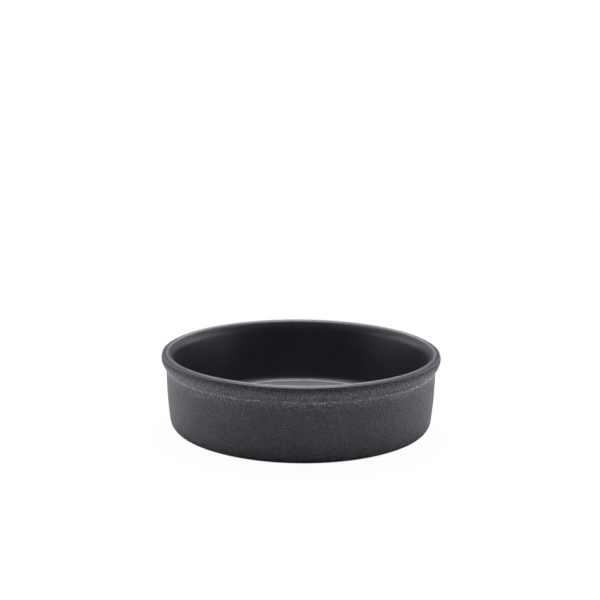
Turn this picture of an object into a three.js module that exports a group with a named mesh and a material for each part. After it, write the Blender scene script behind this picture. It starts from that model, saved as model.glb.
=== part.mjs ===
// A round stoneware tapas dish with a slightly bowed wall, a rolled rim and a low foot ring.
// The clay carries three coats of glaze: smooth inside, granular outside and a thin one under the floor.
// Millimetres, +Z up. The dish stands on z = 0 and its axis is the Z axis.
import * as THREE from "three";

// Overall form, measured over the glaze
const rimDiameter = 145;
const dishHeight = 40.6;
const glazeThickness = 0.4;

// Rolled rim
const rollRadius = 2.7; // the round from the crest to the widest part of the rim
const flankRadius = 6.5; // the fuller curve of the roll below its widest part
const flankAngle = 52; // degrees below level that the flank faces where it ends in the groove
const grooveRadius = 0.5; // the groove between the roll and the wall
const lipRadius = 2.8; // the round that leads from the crest into the dish
const glazeLapAngle = 42; // degrees above level on the roll, where the inside and outside glazes meet

// Outside wall
const ridgeRadius = 0.6; // the rounded edge at the top of the wall
const ridgeAngle = 29; // degrees above level that the ridge faces where it meets the groove
const wallBow = 216; // the wall's outward bow, which is upright at the ridge and draws in below it
const baseRound = 6.4;
const outsideGlazeEnd = 50; // degrees below level on the base round, where bare clay begins

// Inside
const shoulderRadius = 9; // the fuller curve from the lip into the inside wall
const shoulderAngle = 35; // degrees above level that the lip faces where it meets the shoulder
const insideDraft = 8.3; // degrees off upright, narrowing downwards
const floorFillet = 4.5;
const floorThickness = 5;

// Foot ring and the recess inside it
const footWidth = 4; // the bare flat that rests on the table
const footRound = 1;
const recessFillet = 2;
const recessDepth = 2.1;

// Facets
const turnSteps = 56; // round the dish
const bendStep = 22.5; // degrees, the most that one facet turns along the section
const wallSteps = 4; // down the wall
const samePoint = 1e-6;

const rimRadius = rimDiameter / 2;
const floorHeight = recessDepth + floorThickness;

// Angles along the section, in degrees above level: 0 faces out of the dish, 90 up and 180 towards its axis
const outward = 0;
const up = 90;
const down = -90;
const inward = 180;
const insideFacing = inward - insideDraft;
const shoulderFacing = inward - shoulderAngle;

function facing(angle) {
  const turn = THREE.MathUtils.degToRad(angle);
  return new THREE.Vector2(Math.cos(turn), Math.sin(turn));
}

function arcSine(value) {
  return THREE.MathUtils.radToDeg(Math.asin(value));
}

// A stretch of the section where the surface turns from one facing to another about a centre.
// A positive bend bulges out of the clay, and a negative one is a hollow.
function stretch(centre, bend, from, to, fewestSteps = 1) {
  return { centre, bend, from, to, fewestSteps };
}

// The points of a run of stretches, sunk below the finished surface by depth.
function surface(stretches, depth) {
  return stretches.flatMap(({ centre, bend, from, to, fewestSteps }) => {
    const steps = Math.max(fewestSteps, Math.ceil(Math.abs(to - from) / bendStep));
    return Array.from({ length: steps + 1 }, (_, step) => {
      const angle = from + ((to - from) * step) / steps;
      return facing(angle).multiplyScalar(bend - depth).add(centre);
    });
  });
}

// The centre of a stretch that swings smoothly on from another, at a facing that both share.
function nextCentre(centre, bend, nextBend, angle) {
  return facing(angle).multiplyScalar(bend - nextBend).add(centre);
}

// The point at a given height whose reach along a facing is given.
function reachedAt(height, direction, reach) {
  return new THREE.Vector2((reach - height * direction.y) / direction.x, height);
}

// Rim: the roll with its flank, the lip inside it, and the groove under it
const rollCentre = new THREE.Vector2(rimRadius - rollRadius, dishHeight - rollRadius);
const lipCentre = nextCentre(rollCentre, rollRadius, lipRadius, up);
const flankCentre = nextCentre(rollCentre, rollRadius, flankRadius, outward);
const grooveCentre = nextCentre(flankCentre, flankRadius, -grooveRadius, -flankAngle);

// Wall: it hangs from the ridge, and its base round ends on the table in bare clay
const ridgeCentre = nextCentre(grooveCentre, -grooveRadius, ridgeRadius, ridgeAngle);
const wallCentre = nextCentre(ridgeCentre, ridgeRadius, wallBow, outward);
const baseHeight = baseRound - glazeThickness;
const baseFacing = arcSine((baseHeight - wallCentre.y) / (wallBow - baseRound));
const baseCentre = nextCentre(wallCentre, wallBow, baseRound, baseFacing);

// Inside: the wall hangs from the lip's shoulder, and the floor's fillet touches the wall and the floor
const shoulderCentre = nextCentre(lipCentre, lipRadius, shoulderRadius, shoulderFacing);
const insideNormal = facing(insideFacing);
const insideReach = insideNormal.dot(shoulderCentre) + shoulderRadius;
const floorCentre = reachedAt(floorHeight + floorFillet, insideNormal, insideReach + floorFillet);

// Foot: a rounded inner edge that swings straight into the recess's fillet
const footCentre = new THREE.Vector2(baseCentre.x - footWidth, footRound);
const footBend = footRound + glazeThickness;
const recessRise = footRound + recessFillet - recessDepth;
const recessStart = -inward + arcSine(recessRise / (footBend + recessFillet));
const recessCentre = nextCentre(footCentre, footBend, -recessFillet, recessStart);

const insideStretches = [
  stretch(floorCentre, -floorFillet, up, insideFacing),
  stretch(shoulderCentre, shoulderRadius, insideFacing, shoulderFacing),
  stretch(lipCentre, lipRadius, shoulderFacing, up),
  stretch(rollCentre, rollRadius, up, glazeLapAngle),
];
const outsideStretches = [
  stretch(rollCentre, rollRadius, glazeLapAngle, outward),
  stretch(flankCentre, flankRadius, outward, -flankAngle),
  stretch(grooveCentre, -grooveRadius, -flankAngle, ridgeAngle),
  stretch(ridgeCentre, ridgeRadius, ridgeAngle, outward),
  stretch(wallCentre, wallBow, outward, baseFacing, wallSteps),
  stretch(baseCentre, baseRound, baseFacing, -outsideGlazeEnd),
];
const footStretches = [
  stretch(baseCentre, baseRound, -outsideGlazeEnd, down),
  stretch(footCentre, footBend, down, recessStart),
];
const recessStretches = [stretch(recessCentre, -recessFillet, recessStart, down)];

// Lines of the section, each running from the middle of the floor towards the middle of the underside
function insideLine(depth) {
  return [new THREE.Vector2(0, floorHeight - depth), ...surface(insideStretches, depth)];
}

function outsideLine(depth) {
  return surface(outsideStretches, depth);
}

function recessLine(depth) {
  return [...surface(recessStretches, depth), new THREE.Vector2(0, recessDepth + depth)];
}

// Turns a section about the dish's axis. Points that repeat where two stretches meet are dropped.
function turned(name, section, material) {
  const points = section.filter((point, i) => i === 0 || point.distanceTo(section[i - 1]) > samePoint);
  const geometry = new THREE.LatheGeometry(points.reverse(), turnSteps);
  geometry.rotateX(Math.PI / 2);
  const mesh = new THREE.Mesh(geometry, material);
  mesh.name = name;
  return mesh;
}

function stonewareBody() {
  const bareFoot = surface(footStretches, glazeThickness);
  const section = [
    ...insideLine(glazeThickness),
    ...outsideLine(glazeThickness),
    ...bareFoot,
    ...recessLine(glazeThickness),
  ];
  const clay = new THREE.MeshStandardMaterial({ color: 0x8f867b, roughness: 0.85, metalness: 0 });
  return turned("stoneware_body", section, clay);
}

function insideGlaze() {
  const section = [...insideLine(0), ...insideLine(glazeThickness).reverse()];
  const satin = new THREE.MeshStandardMaterial({ color: 0x1d1d21, roughness: 0.35, metalness: 0 });
  return turned("inside_glaze", section, satin);
}

function outsideGlaze() {
  const faceLine = outsideLine(0);
  const section = [...faceLine, ...outsideLine(glazeThickness).reverse(), faceLine[0]];
  const granular = new THREE.MeshStandardMaterial({ color: 0x37363b, roughness: 0.6, metalness: 0 });
  return turned("outside_glaze", section, granular);
}

function undersideGlaze() {
  const section = [...recessLine(glazeThickness).reverse(), ...recessLine(0)];
  const smooth = new THREE.MeshStandardMaterial({ color: 0x242428, roughness: 0.45, metalness: 0 });
  return turned("underside_glaze", section, smooth);
}

const tapasDish = new THREE.Group();
tapasDish.name = "tapas_dish";
tapasDish.add(stonewareBody(), insideGlaze(), outsideGlaze(), undersideGlaze());

export default tapasDish;
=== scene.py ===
import math

import bmesh
import bpy
from mathutils import Matrix, Vector


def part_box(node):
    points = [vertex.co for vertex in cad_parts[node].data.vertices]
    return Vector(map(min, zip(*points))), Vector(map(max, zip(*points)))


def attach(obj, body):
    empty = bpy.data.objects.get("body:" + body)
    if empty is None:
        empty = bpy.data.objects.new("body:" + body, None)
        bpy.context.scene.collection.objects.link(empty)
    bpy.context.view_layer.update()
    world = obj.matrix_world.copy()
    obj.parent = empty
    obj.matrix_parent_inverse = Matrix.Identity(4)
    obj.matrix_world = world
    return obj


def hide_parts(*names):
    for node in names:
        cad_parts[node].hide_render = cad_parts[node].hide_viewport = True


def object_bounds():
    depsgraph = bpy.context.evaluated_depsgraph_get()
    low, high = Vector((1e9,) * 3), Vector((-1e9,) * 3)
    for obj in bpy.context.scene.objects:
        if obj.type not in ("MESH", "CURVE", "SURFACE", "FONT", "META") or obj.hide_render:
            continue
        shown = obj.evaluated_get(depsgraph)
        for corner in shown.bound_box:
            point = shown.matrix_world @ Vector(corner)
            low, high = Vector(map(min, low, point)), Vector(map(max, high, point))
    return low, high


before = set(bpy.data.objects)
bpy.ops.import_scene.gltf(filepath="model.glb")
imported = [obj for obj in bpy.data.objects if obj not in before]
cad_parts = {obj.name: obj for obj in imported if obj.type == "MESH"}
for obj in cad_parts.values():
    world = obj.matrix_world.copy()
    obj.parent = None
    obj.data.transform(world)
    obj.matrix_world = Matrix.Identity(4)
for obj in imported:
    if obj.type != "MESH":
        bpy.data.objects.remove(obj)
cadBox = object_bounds()
mm = 0.001
samePlace = mm / 1000  # points nearer than this are one
outward, up, inward, down = 0, 90, 180, -90  # facings on the section, in degrees above level
rightAngle = 90
print("frame loaded:", ", ".join(sorted(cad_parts)))

# Form of the dish over its glaze. Lengths in metres, angles in degrees above level.
dishForm = {
    "glazeThickness": 0.4 * mm,
    "rollRadius": 2.7 * mm,  # the round from the crest to the widest part of the rim
    "flankRadius": 6.5 * mm,  # the fuller curve of the roll below that
    "flankAngle": -52,  # where the flank ends in the groove
    "grooveRadius": 0.5 * mm,
    "ridgeRadius": 0.6 * mm,  # the rounded edge at the top of the wall
    "ridgeAngle": 29,  # where it comes out of the groove
    "lipRadius": 2.8 * mm,
    "shoulderRadius": 9 * mm,  # the fuller curve from the lip into the inside wall
    "shoulderAngle": 145,  # where the lip swings into it
    "lapAngle": 42,  # where the liner laps the granular coat
    "wallBow": 216 * mm,
    "baseRound": 6.4 * mm,
    "granularEnd": -50,  # on the base round
    "insideDraft": 8.3,  # off upright
    "floorFillet": 4.5 * mm,
    "footWidth": 4 * mm,
    "footRound": 1 * mm,
    "recessFillet": 2 * mm,
    "hiddenTurn": 15,  # the most that one facet turns where nothing shows
}


def facing(angle):
    turn = math.radians(angle)
    return Vector((math.cos(turn), math.sin(turn)))


def reachedAt(height, direction, reach):
    # the point at a height whose reach along a direction is given
    return Vector(((reach - height * direction.y) / direction.x, height))


def nextCentre(centre, bend, nextBend, angle):
    # the centre of an arc that swings smoothly on from another
    return centre + facing(angle) * (bend - nextBend)


class Arc:
    # a stretch of the section that turns about a centre, from its first facing to its last
    def __init__(self, centre, bend, first, last):
        self.centre = centre
        self.bend = bend  # negative in a hollow
        self.first = first
        self.last = last

    def point(self, angle, depth=0):
        return self.centre + facing(angle) * (self.bend - depth)

    def part(self, first, last):
        return Arc(self.centre, self.bend, first, last)


def backwards(run):
    return [arc.part(arc.last, arc.first) for arc in reversed(run)]


def dishSection():
    # runs of arcs along the finished surface, from the floor over the rim to the recess
    form = dishForm
    glaze = form["glazeThickness"]
    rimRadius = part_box("outside_glaze")[1].x
    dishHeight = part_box("inside_glaze")[1].z
    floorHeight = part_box("inside_glaze")[0].z + glaze
    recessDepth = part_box("underside_glaze")[1].z - glaze

    roll, lap = form["rollRadius"], form["lapAngle"]
    flank, under = form["flankRadius"], form["flankAngle"]
    groove, ridge, over = form["grooveRadius"], form["ridgeRadius"], form["ridgeAngle"]
    rollCentre = Vector((rimRadius - roll, dishHeight - roll))
    flankCentre = nextCentre(rollCentre, roll, flank, outward)
    grooveCentre = nextCentre(flankCentre, flank, -groove, under)
    ridgeCentre = nextCentre(grooveCentre, -groove, ridge, over)

    bow, base, end = form["wallBow"], form["baseRound"], form["granularEnd"]
    wallCentre = nextCentre(ridgeCentre, ridge, bow, outward)
    baseFacing = math.degrees(math.asin((base - glaze - wallCentre.y) / (bow - base)))
    baseCentre = nextCentre(wallCentre, bow, base, baseFacing)

    lip, shoulder, swing = form["lipRadius"], form["shoulderRadius"], form["shoulderAngle"]
    fillet, insideFacing = form["floorFillet"], inward - form["insideDraft"]
    lipCentre = nextCentre(rollCentre, roll, lip, up)
    shoulderCentre = nextCentre(lipCentre, lip, shoulder, swing)
    insideNormal = facing(insideFacing)
    insideReach = insideNormal.dot(shoulderCentre) + shoulder
    floorCentre = reachedAt(floorHeight + fillet, insideNormal, insideReach + fillet)

    foot, recess = form["footRound"], form["recessFillet"]
    footCentre = Vector((baseCentre.x - form["footWidth"], foot))
    footBend = foot + glaze
    recessRise = foot + recess - recessDepth
    recessStart = -inward + math.degrees(math.asin(recessRise / (footBend + recess)))
    recessCentre = nextCentre(footCentre, footBend, -recess, recessStart)

    return {
        "floorHeight": floorHeight,
        "recessDepth": recessDepth,
        "inside": [
            Arc(floorCentre, -fillet, up, insideFacing),
            Arc(shoulderCentre, shoulder, insideFacing, swing),
            Arc(lipCentre, lip, swing, up),
        ],
        "crest": [Arc(rollCentre, roll, up, lap)],
        "roll": [Arc(rollCentre, roll, lap, outward), Arc(flankCentre, flank, outward, under)],
        "ridge": [Arc(grooveCentre, -groove, under, over), Arc(ridgeCentre, ridge, over, outward)],
        "wall": [Arc(wallCentre, bow, outward, baseFacing), Arc(baseCentre, base, baseFacing, end)],
        "foot": [Arc(baseCentre, base, end, down), Arc(footCentre, footBend, down, recessStart)],
        "recess": [Arc(recessCentre, -recess, recessStart, down)],
    }


faceGroup = "face"  # vertex group of what shows on a coat


class SectionPen:
    # draws half a section in the XZ plane, vertex by vertex in edit mode, and turns it about the Z axis
    def __init__(self, name, start):
        bpy.ops.object.select_all(action="DESELECT")
        bpy.ops.mesh.primitive_plane_add(size=mm)
        self.piece = bpy.context.object
        self.piece.name = self.piece.data.name = name
        bpy.ops.object.mode_set(mode="EDIT")
        bpy.ops.mesh.select_mode(type="VERT")
        bpy.ops.mesh.merge(type="CENTER")
        bpy.ops.transform.translate(value=(start.x, 0, start.y))
        self.at = start

    def lineTo(self, end, grid=None):
        run = end - self.at
        steps = math.ceil(run.length / grid) if grid else 1
        for _ in range(steps):
            move = {"value": (run.x / steps, 0, run.y / steps)}
            bpy.ops.mesh.extrude_region_move(TRANSFORM_OT_translate=move)
        self.at = end

    def follow(self, run, turn, depth=0, grid=None):
        # along a run of arcs, sunk by depth below the finished surface
        for arc in run:
            start = arc.point(arc.first, depth)
            if (start - self.at).length > samePlace:
                self.lineTo(start, grid)
            sweep = math.radians(arc.last - arc.first)
            steps = math.ceil(abs(arc.last - arc.first) / turn)
            if grid:
                steps = max(steps, math.ceil(abs(sweep * (arc.bend - depth)) / grid))
            pivot = (arc.centre.x, 0, arc.centre.y)
            bpy.ops.mesh.spin(steps=steps, angle=sweep, center=pivot, axis=(0, 1, 0))
            self.at = arc.point(arc.last, depth)

    def count(self):
        return len(bmesh.from_edit_mesh(self.piece.data).verts)

    def markFace(self, last):
        # the vertices drawn up to the last one that shows
        sketch = bmesh.from_edit_mesh(self.piece.data)
        bpy.ops.mesh.select_all(action="DESELECT")
        sketch.verts.ensure_lookup_table()
        for vertex in sketch.verts[:last]:
            vertex.select_set(True)
        bmesh.update_edit_mesh(self.piece.data)
        bpy.ops.object.vertex_group_assign_new()
        self.piece.vertex_groups.active.name = faceGroup

    def turn(self, steps):
        # an eighth is spun, then doubled three times, because a long spin is slow
        eighth = math.pi / 4
        bpy.ops.mesh.select_all(action="SELECT")
        bpy.ops.mesh.spin(steps=steps // 8, angle=eighth, center=(0, 0, 0), axis=(0, 0, 1))
        for reach in (eighth, 2 * eighth, 4 * eighth):
            bpy.ops.mesh.select_all(action="SELECT")
            bpy.ops.mesh.duplicate()
            bpy.ops.transform.rotate(value=reach, orient_axis="Z", center_override=(0, 0, 0))
        bpy.ops.mesh.select_all(action="SELECT")
        bpy.ops.mesh.remove_doubles(threshold=samePlace)
        bpy.ops.mesh.normals_make_consistent(inside=False)
        bpy.ops.object.mode_set(mode="OBJECT")
        return self.piece


def unevenFace(piece, name, size, depth):
    # sinks the face by up to depth, in soft lumps of about this size
    lumps = bpy.data.textures.new(name, type="CLOUDS")
    lumps.noise_scale = size
    lumps.noise_depth = 1
    bpy.ops.object.modifier_add(type="DISPLACE")
    sunk = piece.modifiers[-1]
    sunk.texture = lumps
    sunk.texture_coords = "LOCAL"
    sunk.strength = depth
    sunk.mid_level = 1
    sunk.vertex_group = faceGroup
    bpy.ops.object.modifier_apply(modifier=sunk.name)


def finishPiece(piece, node, material, sharp):
    bpy.ops.object.shade_smooth_by_angle(angle=math.radians(sharp))
    piece.data.materials.append(material)
    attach(piece, "root")
    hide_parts(node)
    print(piece.name, "made,", len(piece.data.polygons), "faces")


class Wire:
    # one output of a node; arithmetic on it adds Math nodes
    def __init__(self, finish, socket):
        self.finish = finish
        self.socket = socket

    def maths(self, operation, *values):
        return self.finish.node("ShaderNodeMath", {"operation": operation}, dict(enumerate(values)))

    def __add__(self, other):
        return self.maths("ADD", self, other)

    def __radd__(self, other):
        return self.maths("ADD", other, self)

    def __sub__(self, other):
        return self.maths("SUBTRACT", self, other)

    def __rsub__(self, other):
        return self.maths("SUBTRACT", other, self)

    def __mul__(self, other):
        return self.maths("MULTIPLY", self, other)

    def __rmul__(self, other):
        return self.maths("MULTIPLY", other, self)

    def __gt__(self, other):
        return self.maths("GREATER_THAN", self, other)

    def __lt__(self, other):
        return self.maths("LESS_THAN", self, other)

    def __abs__(self):
        return self.maths("ABSOLUTE", self)


noiseMiddle = 0.5  # what a noise wanders about


def rgba(colour):
    return colour if isinstance(colour, Wire) else (*colour, 1.0)


def between(limits, share):
    low, high = limits
    return low + (high - low) * share


def above(base, rises):
    return [base + rise for rise in rises]


class Finish:
    # the nodes of a material or of the world
    def __init__(self, tree):
        self.tree = tree
        self.tree.nodes.clear()

    def node(self, kind, settings=None, sockets=None, out=0):
        made = self.tree.nodes.new(kind)
        for setting, value in (settings or {}).items():
            setattr(made, setting, value)
        for socket, value in (sockets or {}).items():
            if isinstance(value, Wire):
                self.tree.links.new(value.socket, made.inputs[socket])
            else:
                made.inputs[socket].default_value = value
        return Wire(self, made.outputs[out]) if made.outputs else made

    def place(self):
        return self.node("ShaderNodeTexCoord", out="Object")

    def axis(self, place, name):
        return self.node("ShaderNodeSeparateXYZ", None, {0: place}, name)

    def noise(self, place, size, detail, rough):
        sockets = {"Vector": place, "Scale": 1 / size, "Detail": detail, "Roughness": rough}
        return self.node("ShaderNodeTexNoise", {"noise_dimensions": "3D"}, sockets, "Fac")

    def cells(self, place, size, out="Distance"):
        sockets = {"Vector": place, "Scale": 1 / size}
        return self.node("ShaderNodeTexVoronoi", {"feature": "F1"}, sockets, out)

    def ramp(self, value, low, high, lowValue=0.0, highValue=1.0):
        limits = {"From Min": low, "From Max": high, "To Min": lowValue, "To Max": highValue}
        settings = {"interpolation_type": "SMOOTHSTEP"}
        return self.node("ShaderNodeMapRange", settings, {"Value": value, **limits})

    def fade(self, value, low, high):
        return self.ramp(value, low, high, 1.0, 0.0)

    def band(self, value, low, fullFrom, fullTo, high):
        return self.ramp(value, low, fullFrom) * self.fade(value, fullTo, high)

    def specks(self, place, size, reach, least):
        # a dot in each cell that draws more than the least number
        draw = self.node("ShaderNodeSeparateColor", None, {0: self.cells(place, size, "Color")})
        return self.fade(self.cells(place, size), *reach) * (draw > least)

    def blend(self, share, first, second):
        sockets = {0: share, 6: rgba(first), 7: rgba(second)}
        return self.node("ShaderNodeMix", {"data_type": "RGBA"}, sockets, 2)

    def bump(self, height, distance):
        return self.node("ShaderNodeBump", None, {"Height": height, "Distance": distance, "Strength": 1.0})

    def mixed(self, share, first, second):
        return self.node("ShaderNodeMixShader", None, {0: share, 1: first, 2: second})

    def output(self, surface, kind="ShaderNodeOutputMaterial"):
        self.node(kind, None, {"Surface": surface})


def newFinish(name):
    material = bpy.data.materials.new(name)
    material.use_nodes = True
    return material, Finish(material.node_tree)


# Granular coat over the outside. A noise is its size, detail and roughness.
granularCoat = {
    "turnSteps": 816,
    "grid": 0.53 * mm,
    "turn": 7.5,
    "ridgeTurn": 14,
    "edgeRound": 0.3 * mm,  # where the coat ends above the foot
    "edgeTurn": 30,
    "sharpAngle": 40,
    "lumpSize": 1.0 * mm,
    "lumpDepth": 0.16 * mm,
    "grainSize": 0.64 * mm,
    "grainReach": (0.1, 0.65),  # of a cell, from the top of a grain to its foot
    "fineNoise": (0.36 * mm, 2, 0.6),
    "fineLimits": (0.3, 0.7),
    "grainShares": (0.55, 0.45),  # of the grains and of the fine noise on them
    "grainHeight": 0.2 * mm,
    "patchNoise": (12 * mm, 2, 0.5),
    "patchTone": 0.3,  # how far soft patches sway the tone
    "toneLimits": (0.42, 0.8),  # from the colour of a pit to that of a grain
    "pit": (0.0042, 0.0035, 0.0078),
    "grain": (0.08, 0.078, 0.095),
    "palePit": (0.02, 0.019, 0.027),
    "paleGrain": (0.3, 0.292, 0.334),
    "paleRises": (-5.5 * mm, 0.4 * mm, 2 * mm, 6.3 * mm),  # from the ridge, between which the coat is paler
    "lapShadeRises": (-3.7 * mm, -0.9 * mm),  # from the lap, below which the coat gets a painted shade
    "lapShade": 0.05,
    "lapShadeSpread": 0.38,  # there more of the grain counts as a shaded pit, by this much of grain, as painted shade
    "pitDepths": (0.0, 0.2),  # of grain, below which a pit is too deep for light
    "pitDark": (0.25, 0.4),  # share of its light that it loses, on the wall and below the lap
    "ridgeWidths": (0.225 * mm, 0.9 * mm),  # to each side of the ridge, where the glaze breaks paler still and a highlight is partly painted
    "ridge": (0.115, 0.113, 0.125),
    "ridgeGrain": (0.6, 1),  # share of that in the pits and on the grains
    "wornLimits": (0.35, 0.65),  # of the patches, where the ridge is least and most worn
    "wornShares": (0.45, 0.9),
    "ridgePolish": 0.4,  # smoother there, by this share
    "speck": (0.52, 0.515, 0.51),  # specks of bare clay, rare on the wall and common on the ridge, where they are partly painted glints
    "speckSize": 0.9 * mm,
    "speckReach": (0.2, 0.45),
    "speckLeast": (0.985, 0.685),  # a cell that draws more has a speck
    "speckShares": (0.3, 1),
    "roughness": (0.42, 0.56),
    "specular": 0.75,
}


def granularFinish(section):
    coat = granularCoat
    material, glaze = newFinish("granularCharcoalGlaze")
    place = glaze.place()
    height = glaze.axis(place, "Z")
    dome = glaze.fade(glaze.cells(place, coat["grainSize"]), *coat["grainReach"])
    fine = glaze.ramp(glaze.noise(place, *coat["fineNoise"]), *coat["fineLimits"])
    domeShare, fineShare = coat["grainShares"]
    grain = dome * domeShare + fine * fineShare
    patches = glaze.noise(place, *coat["patchNoise"])
    # painted shade: the coat is toned darker in a band just below the lap
    lap = section["crest"][-1]
    nearLap = glaze.ramp(height, *above(lap.point(lap.last).y, coat["lapShadeRises"]))
    tone = grain + coat["patchTone"] * (patches - noiseMiddle) - nearLap * coat["lapShade"]
    shade = glaze.ramp(tone, *coat["toneLimits"])

    # the coat is paler from the top of the wall to the roll
    ridge = section["ridge"][-1]
    ridgeHeight = ridge.point((ridge.first + ridge.last) / 2).y
    paleShare = glaze.band(height, *above(ridgeHeight, coat["paleRises"]))
    pit = glaze.blend(paleShare, coat["pit"], coat["palePit"])
    top = glaze.blend(paleShare, coat["grain"], coat["paleGrain"])
    colour = glaze.blend(shade, pit, top)

    # a paler line along the ridge, partly glaze breaking paler and partly a painted highlight, with specks
    # of bare clay that are partly painted glints
    onRidge = glaze.fade(abs(height - ridgeHeight), *coat["ridgeWidths"])
    worn = glaze.ramp(patches, *coat["wornLimits"], *coat["wornShares"])
    colour = glaze.blend(onRidge * worn * between(coat["ridgeGrain"], grain), colour, coat["ridge"])
    brightSpecks = glaze.specks(place, coat["speckSize"], coat["speckReach"], between(coat["speckLeast"], onRidge))
    colour = glaze.blend(brightSpecks * between(coat["speckShares"], onRidge), colour, coat["speck"])

    unpolished = 1 - coat["ridgePolish"] * onRidge
    surface = {
        "Base Color": colour,
        "Roughness": between(coat["roughness"], 1 - grain) * unpolished,
        "Normal": glaze.bump(grain * unpolished, coat["grainHeight"]),
        "Specular IOR Level": coat["specular"],
    }
    lit = glaze.node("ShaderNodeBsdfPrincipled", None, surface)
    # painted shade: the lowest pits, and more of them below the lap, turn to a dull dark diffuse
    dark = glaze.node("ShaderNodeBsdfDiffuse", None, {"Color": rgba(coat["pit"])})
    shadedPits = glaze.fade(grain - coat["lapShadeSpread"] * nearLap, *coat["pitDepths"])
    glaze.output(glaze.mixed(shadedPits * between(coat["pitDark"], nearLap), lit, dark))
    return material


def makeGranularCoat(section):
    coat = granularCoat
    glaze = dishForm["glazeThickness"]
    run = section["roll"] + section["ridge"] + section["wall"]
    start = run[0].point(run[0].first)
    pen = SectionPen("dish_granular_coat", start)
    pen.follow(section["roll"], coat["turn"], 0, coat["grid"])
    pen.follow(section["ridge"], coat["ridgeTurn"], 0, coat["grid"])
    pen.follow(section["wall"], coat["turn"], 0, coat["grid"])
    base, edge = run[-1], coat["edgeRound"]
    edgeArc = Arc(base.point(base.last, edge), edge, base.last, base.last - rightAngle)
    pen.follow([edgeArc], coat["edgeTurn"])
    faceCount = pen.count()
    # down to the clay and back along it
    overlap = math.degrees(edge / (base.bend - glaze))
    clayRun = run[:-1] + [base.part(base.first, base.last - overlap)]
    pen.follow(backwards(clayRun), dishForm["hiddenTurn"], glaze)
    pen.lineTo(start)
    pen.markFace(faceCount)
    piece = pen.turn(coat["turnSteps"])
    unevenFace(piece, "granularGlazeLumps", coat["lumpSize"], coat["lumpDepth"])
    finishPiece(piece, "outside_glaze", granularFinish(section), coat["sharpAngle"])


# Smooth liner over the floor, the inside wall and the crest
linerCoat = {
    "turnSteps": 400,
    "grid": 1.2 * mm,
    "floorGrid": 2 * mm,
    "turn": 6,
    "lapRound": 0.5 * mm,  # the bead where the liner ends over the granular coat
    "lapRise": 0.16 * mm,
    "lapTurn": 12,
    "sharpAngle": 50,
    "waveSize": 9 * mm,
    "waveDepth": 0.03 * mm,
    "cloudNoise": (14 * mm, 3, 0.5),
    "cloudLimits": (0.35, 0.7),
    "peelNoise": (1.6 * mm, 2, 0.5),
    "peelDepth": 0.012 * mm,
    "colour": (0.0148, 0.0136, 0.0207),
    "thinColour": (0.02, 0.0185, 0.027),
    "pooledPaintedLightColour": (0.034, 0.033, 0.038),  # where the glaze lies thick on the floor, paler there partly as painted light
    "pooledRises": (0.44 * mm, 0.7 * mm),  # above the floor
    "pooledWander": 0.4 * mm,
    "sheen": (0.86, 0.87, 0.89),  # a dull sheen on the floor and its fillet, seen at a low angle
    "sheenRoughness": 0.9,
    "sheenShares": (0.43, 0.66),  # on the floor and on the fillet
    "filletRises": (0.12 * mm, 0.32 * mm, 0.45 * mm, 0.7 * mm),
    "filletSlant": 0.34,  # from here the fillet has all of its sheen
    "roughness": (0.32, 0.42),
    "peelShare": 0.5,  # of the roughness, and the cloud has the rest
    "floorDulling": 0.28,  # rougher by this where it lies thick
    "specular": 0.54,
}


def linerFinish(section):
    coat = linerCoat
    floorHeight = section["floorHeight"]
    material, glaze = newFinish("satinBlackGlaze")
    place = glaze.place()
    height = glaze.axis(place, "Z")
    cloud = glaze.noise(place, *coat["cloudNoise"])
    peel = glaze.noise(place, *coat["peelNoise"])
    colour = glaze.blend(glaze.ramp(cloud, *coat["cloudLimits"]), coat["colour"], coat["thinColour"])
    wander = coat["pooledWander"] * (cloud - noiseMiddle)
    # the floor where the glaze lies thick: paler partly as painted light, duller, and with a sheen
    pooledAndPaintedLight = glaze.fade(height + wander, *above(floorHeight, coat["pooledRises"]))
    uneven = between((cloud, peel), coat["peelShare"])
    surface = {
        "Base Color": glaze.blend(pooledAndPaintedLight, colour, coat["pooledPaintedLightColour"]),
        "Roughness": between(coat["roughness"], uneven) + pooledAndPaintedLight * coat["floorDulling"],
        "Normal": glaze.bump(peel, coat["peelDepth"]),
        "Specular IOR Level": coat["specular"],
    }
    satin = glaze.node("ShaderNodeBsdfPrincipled", None, surface)

    aslant = glaze.node("ShaderNodeLayerWeight", out="Facing")
    fillet = glaze.band(height, *above(floorHeight, coat["filletRises"]))
    fillet = fillet * glaze.ramp(aslant, 0, coat["filletSlant"])
    floorShare, filletShare = coat["sheenShares"]
    share = pooledAndPaintedLight * (floorShare * aslant * aslant + filletShare * fillet)
    dull = {"Color": rgba(coat["sheen"]), "Roughness": coat["sheenRoughness"]}
    sheen = glaze.node("ShaderNodeBsdfAnisotropic", None, dull)
    glaze.output(glaze.mixed(share, satin, sheen))
    return material


def makeLinerCoat(section):
    coat = linerCoat
    glaze = dishForm["glazeThickness"]
    top = section["floorHeight"]
    pen = SectionPen("dish_satin_liner", Vector((0, top)))
    floorEdge = section["inside"][0].centre.x
    pen.lineTo(Vector((floorEdge, top)), coat["floorGrid"])
    crest, bead, rise = section["crest"][0], coat["lapRound"], coat["lapRise"]
    lap = crest.last
    spread = math.acos(1 - rise / bead)
    beadStart = lap + math.degrees(bead * math.sin(spread) / crest.bend)
    pen.follow(section["inside"] + [crest.part(crest.first, beadStart)], coat["turn"], 0, coat["grid"])
    beadArc = Arc(crest.point(lap, bead - rise), bead, lap + math.degrees(spread), lap - rightAngle)
    pen.follow([beadArc], coat["lapTurn"])
    faceCount = pen.count()
    pen.follow(backwards(section["inside"] + section["crest"]), dishForm["hiddenTurn"], glaze)
    pen.lineTo(Vector((0, top - glaze)))
    pen.markFace(faceCount)
    piece = pen.turn(coat["turnSteps"])
    unevenFace(piece, "linerGlazeWaves", coat["waveSize"], coat["waveDepth"])
    finishPiece(piece, "inside_glaze", linerFinish(section), coat["sharpAngle"])


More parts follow.
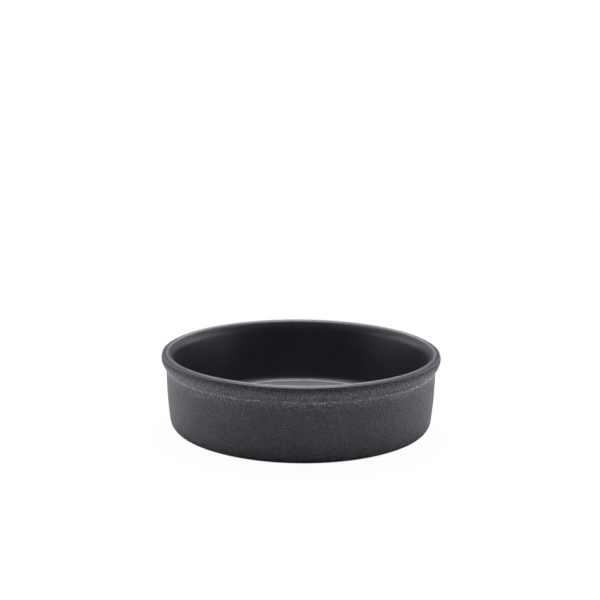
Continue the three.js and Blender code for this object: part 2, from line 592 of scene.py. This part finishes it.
# Thin coat in the recess under the floor
recessCoat = {
    "turnSteps": 240,
    "grid": 2.5 * mm,
    "turn": 9,
    "sharpAngle": 40,
    "waveSize": 7 * mm,
    "waveDepth": 0.04 * mm,
    "cloudNoise": (9 * mm, 4, 0.6),
    "thinLimits": (0.5, 0.78),  # of the cloud, past which the clay shows through
    "peelNoise": (1.1 * mm, 2, 0.5),
    "peelShare": 0.6,  # of the bump, and the cloud has the rest
    "bumpDepth": 0.03 * mm,
    "colour": (0.016, 0.016, 0.019),
    "thinColour": (0.045, 0.041, 0.038),
    "roughness": (0.38, 0.55),
}


def recessFinish():
    coat = recessCoat
    material, glaze = newFinish("thinUndersideGlaze")
    place = glaze.place()
    cloud = glaze.noise(place, *coat["cloudNoise"])
    peel = glaze.noise(place, *coat["peelNoise"])
    paleShare = glaze.ramp(cloud, *coat["thinLimits"])
    surface = {
        "Base Color": glaze.blend(paleShare, coat["colour"], coat["thinColour"]),
        "Roughness": between(coat["roughness"], cloud),
        "Normal": glaze.bump(between((cloud, peel), coat["peelShare"]), coat["bumpDepth"]),
    }
    glaze.output(glaze.node("ShaderNodeBsdfPrincipled", None, surface))
    return material


def makeRecessCoat(section):
    coat = recessCoat
    glaze = dishForm["glazeThickness"]
    run = section["recess"]
    depth = section["recessDepth"]
    start = run[0].point(run[0].first)
    pen = SectionPen("dish_recess_coat", start)
    pen.follow(run, coat["turn"], 0, coat["grid"])
    pen.lineTo(Vector((0, depth)), coat["grid"])
    faceCount = pen.count()
    pen.lineTo(Vector((0, depth + glaze)))
    pen.follow(backwards(run), dishForm["hiddenTurn"], glaze)
    pen.lineTo(start)
    pen.markFace(faceCount)
    piece = pen.turn(coat["turnSteps"])
    unevenFace(piece, "recessGlazeWaves", coat["waveSize"], coat["waveDepth"])
    finishPiece(piece, "underside_glaze", recessFinish(), coat["sharpAngle"])


# Clay body, which shows only as the bare foot ring
clayBody = {
    "turnSteps": 360,
    "footGrid": 0.5 * mm,
    "footTurn": 6,
    "sharpAngle": 40,
    "sandNoise": (0.6 * mm, 3, 0.65),
    "sandShare": 0.6,  # of the clay's tone, and the cloud has the rest
    "sandDepth": 0.05 * mm,
    "cloudNoise": (8 * mm, 2, 0.5),
    "colour": (0.29, 0.26, 0.215),
    "darkColour": (0.2, 0.175, 0.145),
    "ironColour": (0.06, 0.045, 0.035),
    "ironSize": 1.4 * mm,
    "ironReach": (0.12, 0.3),
    "ironLeast": 0.9,  # a cell that draws more has a dark speck
    "contactShadeColour": (0.01, 0.0095, 0.011),  # painted shade on the bare foot, so that its edge on the floor reads as a dark contact line
    "contactShadeHeights": (0.08 * mm, 0.3 * mm),
    "contactShadeWander": 0.1 * mm,
    "contactShadeShare": 0.95,
    "roughness": (0.78, 0.92),
}


def clayFinish():
    body = clayBody
    material, clay = newFinish("bareStoneware")
    place = clay.place()
    sand = clay.noise(place, *body["sandNoise"])
    cloud = clay.noise(place, *body["cloudNoise"])
    colour = clay.blend(between((cloud, sand), body["sandShare"]), body["darkColour"], body["colour"])
    iron = clay.specks(place, body["ironSize"], body["ironReach"], body["ironLeast"])
    colour = clay.blend(iron, colour, body["ironColour"])
    # painted shade: the bare clay of the foot turns dark from a fraction of a millimetre above the floor
    wander = body["contactShadeWander"] * (sand - noiseMiddle)
    contactShade = clay.ramp(clay.axis(place, "Z") + wander, *body["contactShadeHeights"])
    surface = {
        "Base Color": clay.blend(contactShade * body["contactShadeShare"], colour, body["contactShadeColour"]),
        "Roughness": between(body["roughness"], sand),
        "Normal": clay.bump(sand, body["sandDepth"]),
    }
    clay.output(clay.node("ShaderNodeBsdfPrincipled", None, surface))
    return material


def makeClayBody(section):
    body = clayBody
    glaze = dishForm["glazeThickness"]
    hidden = dishForm["hiddenTurn"]
    pen = SectionPen("dish_clay_body", Vector((0, section["floorHeight"] - glaze)))
    upper = section["inside"] + section["crest"] + section["roll"] + section["ridge"] + section["wall"]
    pen.follow(upper, hidden, glaze)
    pen.follow(section["foot"], body["footTurn"], glaze, body["footGrid"])
    pen.follow(section["recess"], hidden, glaze)
    pen.lineTo(Vector((0, section["recessDepth"] + glaze)))
    piece = pen.turn(body["turnSteps"])
    finishPiece(piece, "stoneware_body", clayFinish(), body["sharpAngle"])


section = dishSection()
makeClayBody(section)
makeLinerCoat(section)
makeGranularCoat(section)
makeRecessCoat(section)

# Studio: pale floor, soft panels and a dim room, white to the eye
studio = {
    "floorSize": 12.0,
    "floorColour": (0.9, 0.9, 0.9),
    "white": (1, 1, 1),
    "shadowReaches": (0.95 * mm, 2.35 * mm),  # past the foot, where the floor's shadow fades to the eye
    "nearWhite": 0.97,  # from there the eye sees this share of plain white, and all white far away
    "farRadius": 1.2,
    "frontLevel": 0.18,  # of the room before the dish
    "lowBackLevels": (0.19, 0.85),  # of the room behind it, low down in the middle and at the sides
    "highBackLevel": 1.1,
    "frontToBack": (-0.3, 0.3),  # directions between which one level turns into the next
    "middleToSides": (0.2, 0.6),
    "lowToHigh": (0.3, 0.6),
    "tint": (0.955, 0.945, 1.0),
    "panelDistance": 1.0,
    "panels": {  # turn is from behind the dish to the right, and rise is above level
        "topSoftbox": {"turn": 0, "rise": 80, "size": (0.5, 0.3), "level": 11.3},
        "backSoftbox": {"turn": 0, "rise": 42.5, "size": (0.5, 0.56), "level": 4.7},
        "leftStrip": {"turn": -80, "rise": 10, "size": (1.2, 0.3), "level": 1.78},
        "rightStrip": {"turn": 80, "rise": 10, "size": (1.2, 0.3), "level": 1.76},
        "leftSoftbox": {"turn": -80, "rise": 60, "size": (0.7, 0.4), "level": 1.65},
        "rightSoftbox": {"turn": 80, "rise": 60, "size": (0.7, 0.4), "level": 1.1},
    },
}


def lightPath(finish):
    # what kind of ray is asking: from the eye or through glass, and from a reflection
    path = finish.node("ShaderNodeLightPath").socket.node
    kinds = ("Is Camera Ray", "Is Transmission Ray", "Is Glossy Ray")
    eye, glass, mirror = (Wire(finish, path.outputs[kind]) for kind in kinds)
    return eye + glass, mirror


def makeFloor(section):
    bpy.ops.object.select_all(action="DESELECT")
    bpy.ops.mesh.primitive_plane_add(size=studio["floorSize"])
    floor = bpy.context.object
    floor.name = "studio_floor"
    material, paper = newFinish("whitePaper")
    away = paper.node("ShaderNodeVectorMath", {"operation": "LENGTH"}, {0: paper.place()}, "Value")
    footRadius = section["foot"][0].centre.x
    contactRadius, nearRadius = above(footRadius, studio["shadowReaches"])
    clear = paper.ramp(away, contactRadius, nearRadius)
    far = paper.ramp(away, nearRadius, studio["farRadius"])
    seen, mirrored = lightPath(paper)
    matt = paper.node("ShaderNodeBsdfDiffuse", None, {"Color": rgba(studio["floorColour"])})
    white = paper.node("ShaderNodeEmission", None, {"Color": rgba(studio["white"]), "Strength": 1.0})
    share = clear * between((studio["nearWhite"], 1), far) * seen + far * mirrored
    paper.output(paper.mixed(share, matt, white))
    floor.data.materials.append(material)


def makeRoom():
    world = bpy.data.worlds.new("studioRoom")
    bpy.context.scene.world = world
    world.use_nodes = True
    room = Finish(world.node_tree)
    way = room.node("ShaderNodeTexCoord", out="Generated")
    across, depth, rise = (room.axis(way, name) for name in "XYZ")
    low = room.ramp(abs(across), *studio["middleToSides"], *studio["lowBackLevels"])
    back = between((low, studio["highBackLevel"]), room.ramp(rise, *studio["lowToHigh"]))
    level = between((studio["frontLevel"], back), room.ramp(depth, *studio["frontToBack"]))
    seen, _ = lightPath(room)
    colour = room.blend(seen, studio["tint"], studio["white"])
    air = {"Color": colour, "Strength": between((level, 1), seen)}
    room.output(room.node("ShaderNodeBackground", None, air), "ShaderNodeOutputWorld")


def makePanels():
    aim = (cadBox[0] + cadBox[1]) / 2
    for name, panel in studio["panels"].items():
        lamp = bpy.data.lights.new(name, type="AREA")
        lamp.shape = "RECTANGLE"
        lamp.size, lamp.size_y = panel["size"]
        lamp.color = studio["tint"]
        lamp.energy = panel["level"] * math.pi * lamp.size * lamp.size_y
        holder = bpy.data.objects.new(name, lamp)
        bpy.context.scene.collection.objects.link(holder)
        turn = math.radians(panel["turn"])
        reach = facing(panel["rise"]) * studio["panelDistance"]
        holder.location = aim + Vector((math.sin(turn) * reach.x, math.cos(turn) * reach.x, reach.y))
        holder.rotation_euler = (aim - holder.location).to_track_quat("-Z", "Y").to_euler()
        holder.visible_camera = False


makeFloor(section)
makeRoom()
makePanels()
print("studio made")

# Camera, at the photograph's angle
view = {
    "distance": 725 * mm,
    "elevation": 15.73,  # degrees above the middle of the dish
    "aimAbove": 3.606,  # degrees that it looks above the middle of the dish
    "turn": 0.069,
    "roll": 0.529,
    "lens": 82.85,
    "sensor": 36.0,
}


def makeCamera():
    lens = bpy.data.cameras.new("tableCamera")
    lens.lens = view["lens"]
    lens.sensor_width = view["sensor"]
    camera = bpy.data.objects.new("tableCamera", lens)
    bpy.context.scene.collection.objects.link(camera)
    middle = (cadBox[0] + cadBox[1]) / 2
    raised = math.radians(view["elevation"])
    back = Vector((0, -math.cos(raised), math.sin(raised)))
    tilt = math.radians(rightAngle - view["elevation"] + view["aimAbove"])
    turned = Matrix.Rotation(math.radians(view["turn"]), 4, "Z")
    tilted = Matrix.Rotation(tilt, 4, "X")
    rolled = Matrix.Rotation(math.radians(view["roll"]), 4, "Z")
    camera.matrix_world = Matrix.Translation(middle + back * view["distance"]) @ turned @ tilted @ rolled
    bpy.context.scene.camera = camera


makeCamera()
bpy.context.scene.view_settings.view_transform = "Standard"
print("camera placed")
